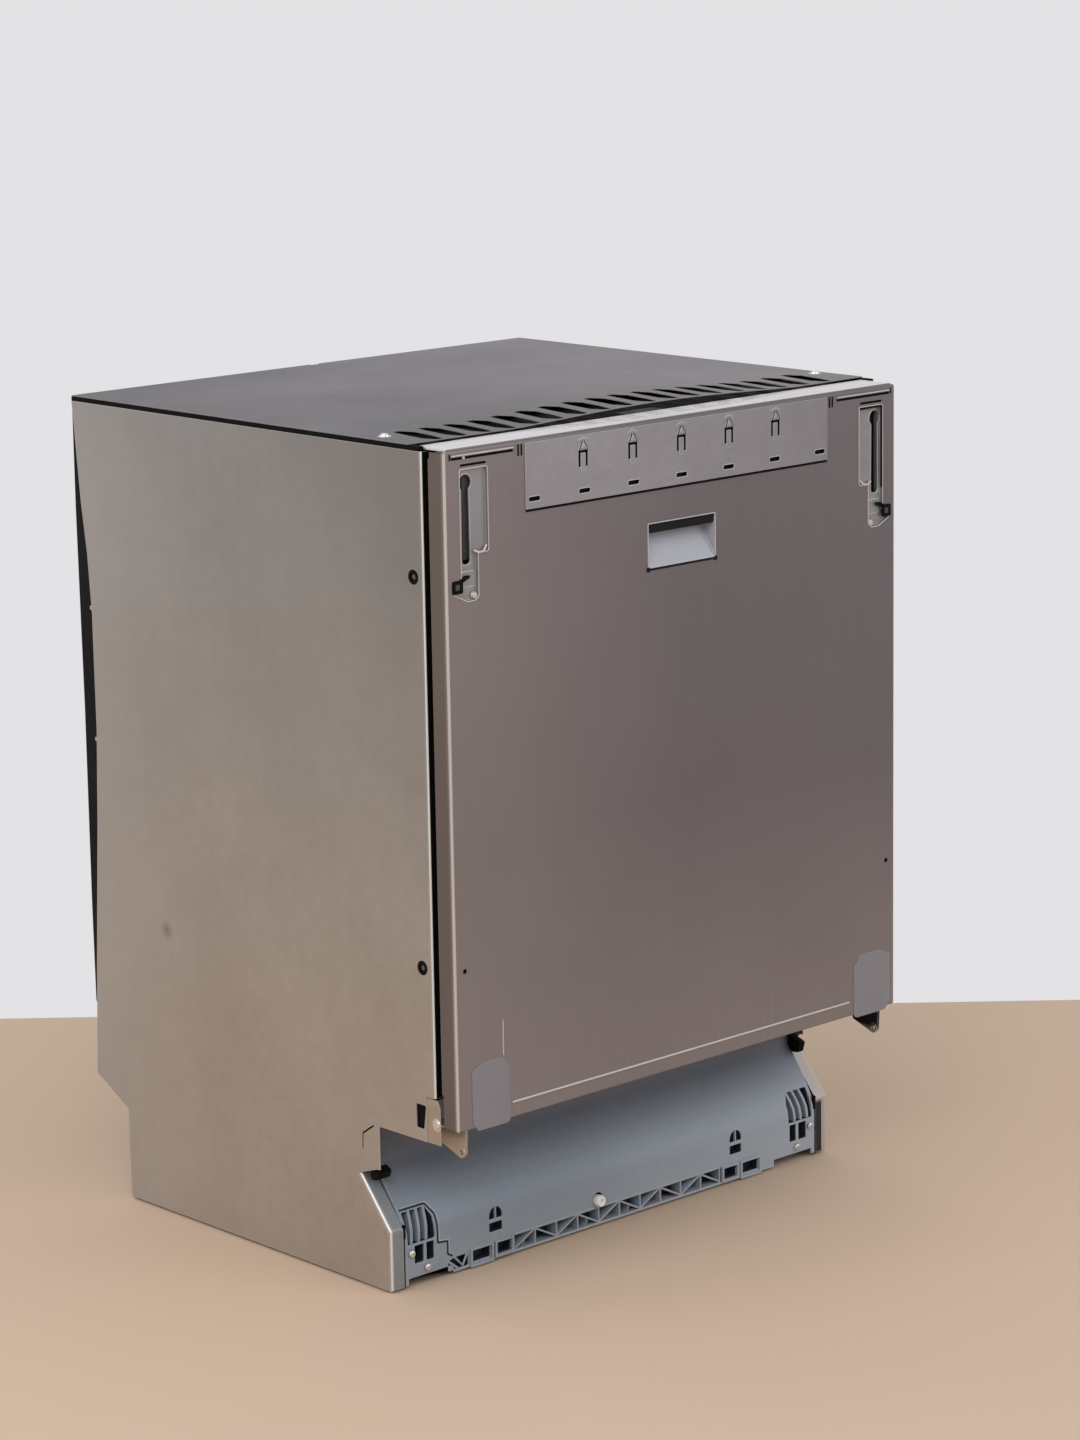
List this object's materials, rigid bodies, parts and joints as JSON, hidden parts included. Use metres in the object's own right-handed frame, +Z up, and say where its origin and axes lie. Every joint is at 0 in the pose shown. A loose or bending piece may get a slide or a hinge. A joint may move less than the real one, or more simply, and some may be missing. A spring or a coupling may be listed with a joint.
{
  "type": "built-in dishwasher",
  "caption": "Fully integrated built-in dishwasher with a drop-down door, sheet-steel cabinet, recessed plastic plinth, two wire racks and spray arms.",
  "frame": {"origin": "centre of the bounding box at floor level", "axes": "+X to the right seen from the front, -Y out of the door's front, +Z up"},
  "size_m": [0.598, 0.55, 0.8205],
  "materials": {
    "galvanised_steel": "matt zinc sheet",
    "cover_steel": "dark matt coat",
    "door_steel": "brown grey matt coat",
    "tub_steel": "satin",
    "plate_steel": "matt zinc sheet",
    "bracket_zinc": "zinc plated",
    "bright_screws": "bright",
    "base_plastic": "blue grey moulded",
    "grey_plastic": "moulded",
    "pad_plastic": "moulded",
    "light_plastic": "satin",
    "dark_plastic": "moulded",
    "white_plastic": "satin",
    "black_felt": "felt",
    "seal_rubber": "soft",
    "rack_coat": "dipped coat",
    "pump_metal": "cast",
    "spring_steel": "bare"
  },
  "bodies": {
    "cabinet": {"side_panel_left": "galvanised_steel", "side_panel_right": "galvanised_steel", "top_cover": "cover_steel", "cover_screws": "bright_screws", "rear_insulation": "black_felt", "tub": "tub_steel", "tub_front_frame": "tub_steel", "door_gasket": "seal_rubber", "upper_rack_rails": "bracket_zinc", "base_tray": "base_plastic", "plinth_panel": "base_plastic", "plinth_screws": "bright_screws", "hinge_brackets": "galvanised_steel", "hinge_pins": "bright_screws", "sump": "dark_plastic", "circulation_pump": "dark_plastic", "drain_pump": "dark_plastic", "water_softener": "white_plastic", "inlet_valve": "white_plastic", "drain_spigot": "dark_plastic", "power_inlet": "dark_plastic", "filter_plate": "tub_steel", "door_springs": "spring_steel", "latch_catch": "dark_plastic"},
    "door": {"outer_door_panel": "door_steel", "inner_door_liner": "tub_steel", "control_fascia": "light_plastic", "deco_plate": "plate_steel", "handle_cup": "light_plastic", "keyhole_bracket_left": "bracket_zinc", "keyhole_bracket_right": "bracket_zinc", "corner_pads": "pad_plastic", "hinge_arms": "galvanised_steel", "dispenser_body": "grey_plastic"},
    "power_button": {"power_button": "dark_plastic"},
    "program_button": {"program_button": "dark_plastic"},
    "start_button": {"start_button": "dark_plastic"},
    "dispenser_lid": {"dispenser_lid": "light_plastic"},
    "rinse_cap": {"rinse_cap": "dark_plastic"},
    "rear_adjuster": {"rear_adjuster": "white_plastic"},
    "salt_cap": {"salt_cap": "grey_plastic"},
    "filter_cylinder": {"filter_cylinder": "grey_plastic"},
    "lower_spray_arm": {"lower_spray_arm": "grey_plastic"},
    "upper_spray_arm": {"upper_spray_arm": "grey_plastic"},
    "top_sprinkler": {"top_sprinkler": "grey_plastic"},
    "foot_front_left": {"foot_front_left": "dark_plastic"},
    "foot_front_right": {"foot_front_right": "dark_plastic"},
    "foot_rear": {"foot_rear": "dark_plastic"},
    "lower_rack": {"lower_rack": "rack_coat"},
    "lower_wheels_front": {"lower_wheels_front": "grey_plastic"},
    "lower_wheels_rear": {"lower_wheels_rear": "grey_plastic"},
    "cutlery_basket": {"cutlery_basket": "grey_plastic"},
    "tine_row": {"tine_row": "rack_coat"},
    "upper_rack": {"upper_rack": "rack_coat", "upper_feed_tube": "grey_plastic"},
    "upper_rollers_front": {"upper_rollers_front": "white_plastic"},
    "upper_rollers_rear": {"upper_rollers_rear": "white_plastic"},
    "cup_shelf_left": {"cup_shelf_left": "rack_coat"},
    "cup_shelf_right": {"cup_shelf_right": "rack_coat"}
  },
  "joints": [
    {"name": "door_hinge", "type": "hinge", "parent": "cabinet", "child": "door", "pos_m": [0, -0.247, 0.183], "axis": [1, 0, 0], "range_deg": [0, 90], "stiffness_Nm_per_rad": 20},
    {"name": "power_button_press", "type": "slide", "parent": "door", "child": "power_button", "axis": [0, 0, -1], "range_m": [0, 0.001], "stiffness_N_per_m": 400, "springref_m": -0.001},
    {"name": "program_button_press", "type": "slide", "parent": "door", "child": "program_button", "axis": [0, 0, -1], "range_m": [0, 0.001], "stiffness_N_per_m": 400, "springref_m": -0.001},
    {"name": "start_button_press", "type": "slide", "parent": "door", "child": "start_button", "axis": [0, 0, -1], "range_m": [0, 0.001], "stiffness_N_per_m": 400, "springref_m": -0.001},
    {"name": "dispenser_lid_slide", "type": "slide", "parent": "door", "child": "dispenser_lid", "axis": [0, 0, -1], "range_m": [0, 0.05]},
    {"name": "rinse_cap_turn", "type": "hinge", "parent": "door", "child": "rinse_cap", "pos_m": [0.11, -0.237, 0.5], "axis": [0, 1, 0], "range_deg": [0, 90]},
    {"name": "salt_cap_turn", "type": "hinge", "parent": "cabinet", "child": "salt_cap", "pos_m": [-0.16, -0.093, 0.208], "axis": [0, 0, 1], "range_deg": [0, 90]},
    {"name": "filter_turn", "type": "hinge", "parent": "cabinet", "child": "filter_cylinder", "pos_m": [0, -0.07, 0.19], "axis": [0, 0, 1], "range_deg": [0, 90]},
    {"name": "lower_spray_spin", "type": "hinge", "parent": "cabinet", "child": "lower_spray_arm", "pos_m": [0, 0, 0.22], "axis": [0, 0, 1], "continuous": true},
    {"name": "top_sprinkler_spin", "type": "hinge", "parent": "cabinet", "child": "top_sprinkler", "pos_m": [0, 0, 0.782], "axis": [0, 0, 1], "continuous": true},
    {"name": "foot_front_left_height", "type": "slide", "parent": "cabinet", "child": "foot_front_left", "axis": [0, 0, 1], "range_m": [-0.06, 0]},
    {"name": "foot_front_right_height", "type": "slide", "parent": "cabinet", "child": "foot_front_right", "axis": [0, 0, 1], "range_m": [-0.06, 0]},
    {"name": "foot_rear_height", "type": "slide", "parent": "cabinet", "child": "foot_rear", "axis": [0, 0, 1], "range_m": [-0.06, 0]},
    {"name": "rear_adjuster_turn", "type": "hinge", "parent": "cabinet", "child": "rear_adjuster", "pos_m": [-0.029, -0.178, 0.027], "axis": [0, 1, 0], "range_deg": [0, 14400]},
    {"name": "lower_rack_slide", "type": "slide", "parent": "cabinet", "child": "lower_rack", "axis": [0, -1, 0], "range_m": [0, 0.012]},
    {"name": "lower_wheels_front_roll", "type": "hinge", "parent": "lower_rack", "child": "lower_wheels_front", "pos_m": [0, -0.145, 0.2218], "axis": [1, 0, 0], "range_deg": [0, 42]},
    {"name": "lower_wheels_rear_roll", "type": "hinge", "parent": "lower_rack", "child": "lower_wheels_rear", "pos_m": [0, 0.155, 0.2218], "axis": [1, 0, 0], "range_deg": [0, 42]},
    {"name": "cutlery_basket_lift", "type": "slide", "parent": "lower_rack", "child": "cutlery_basket", "axis": [0, 0, 1], "range_m": [0, 0.07]},
    {"name": "tine_row_fold", "type": "hinge", "parent": "lower_rack", "child": "tine_row", "pos_m": [-0.07, 0.025, 0.25], "axis": [-1, 0, 0], "range_deg": [0, 80]},
    {"name": "upper_rack_slide", "type": "slide", "parent": "cabinet", "child": "upper_rack", "axis": [0, -1, 0], "range_m": [0, 0.012]},
    {"name": "upper_rollers_front_roll", "type": "hinge", "parent": "upper_rack", "child": "upper_rollers_front", "pos_m": [0, -0.145, 0.5223], "axis": [1, 0, 0], "range_deg": [0, 87]},
    {"name": "upper_rollers_rear_roll", "type": "hinge", "parent": "upper_rack", "child": "upper_rollers_rear", "pos_m": [0, 0.155, 0.5223], "axis": [1, 0, 0], "range_deg": [0, 87]},
    {"name": "upper_spray_spin", "type": "hinge", "parent": "upper_rack", "child": "upper_spray_arm", "pos_m": [0, 0, 0.452], "axis": [0, 0, 1], "continuous": true},
    {"name": "cup_shelf_left_fold", "type": "hinge", "parent": "upper_rack", "child": "cup_shelf_left", "pos_m": [-0.224, 0, 0.565], "axis": [0, -1, 0], "range_deg": [0, 75]},
    {"name": "cup_shelf_right_fold", "type": "hinge", "parent": "upper_rack", "child": "cup_shelf_right", "pos_m": [0.224, 0, 0.565], "axis": [0, 1, 0], "range_deg": [0, 75]}
  ],
  "couplings": [
    {"joint": "lower_wheels_front_roll", "follows": "lower_rack_slide", "rad_per_m": 58.824},
    {"joint": "lower_wheels_rear_roll", "follows": "lower_rack_slide", "rad_per_m": 58.824},
    {"joint": "upper_rollers_front_roll", "follows": "upper_rack_slide", "rad_per_m": 125},
    {"joint": "upper_rollers_rear_roll", "follows": "upper_rack_slide", "rad_per_m": 125},
    {"joint": "rear_adjuster_turn", "follows": "foot_rear_height", "rad_per_m": -4188.8}
  ]
}
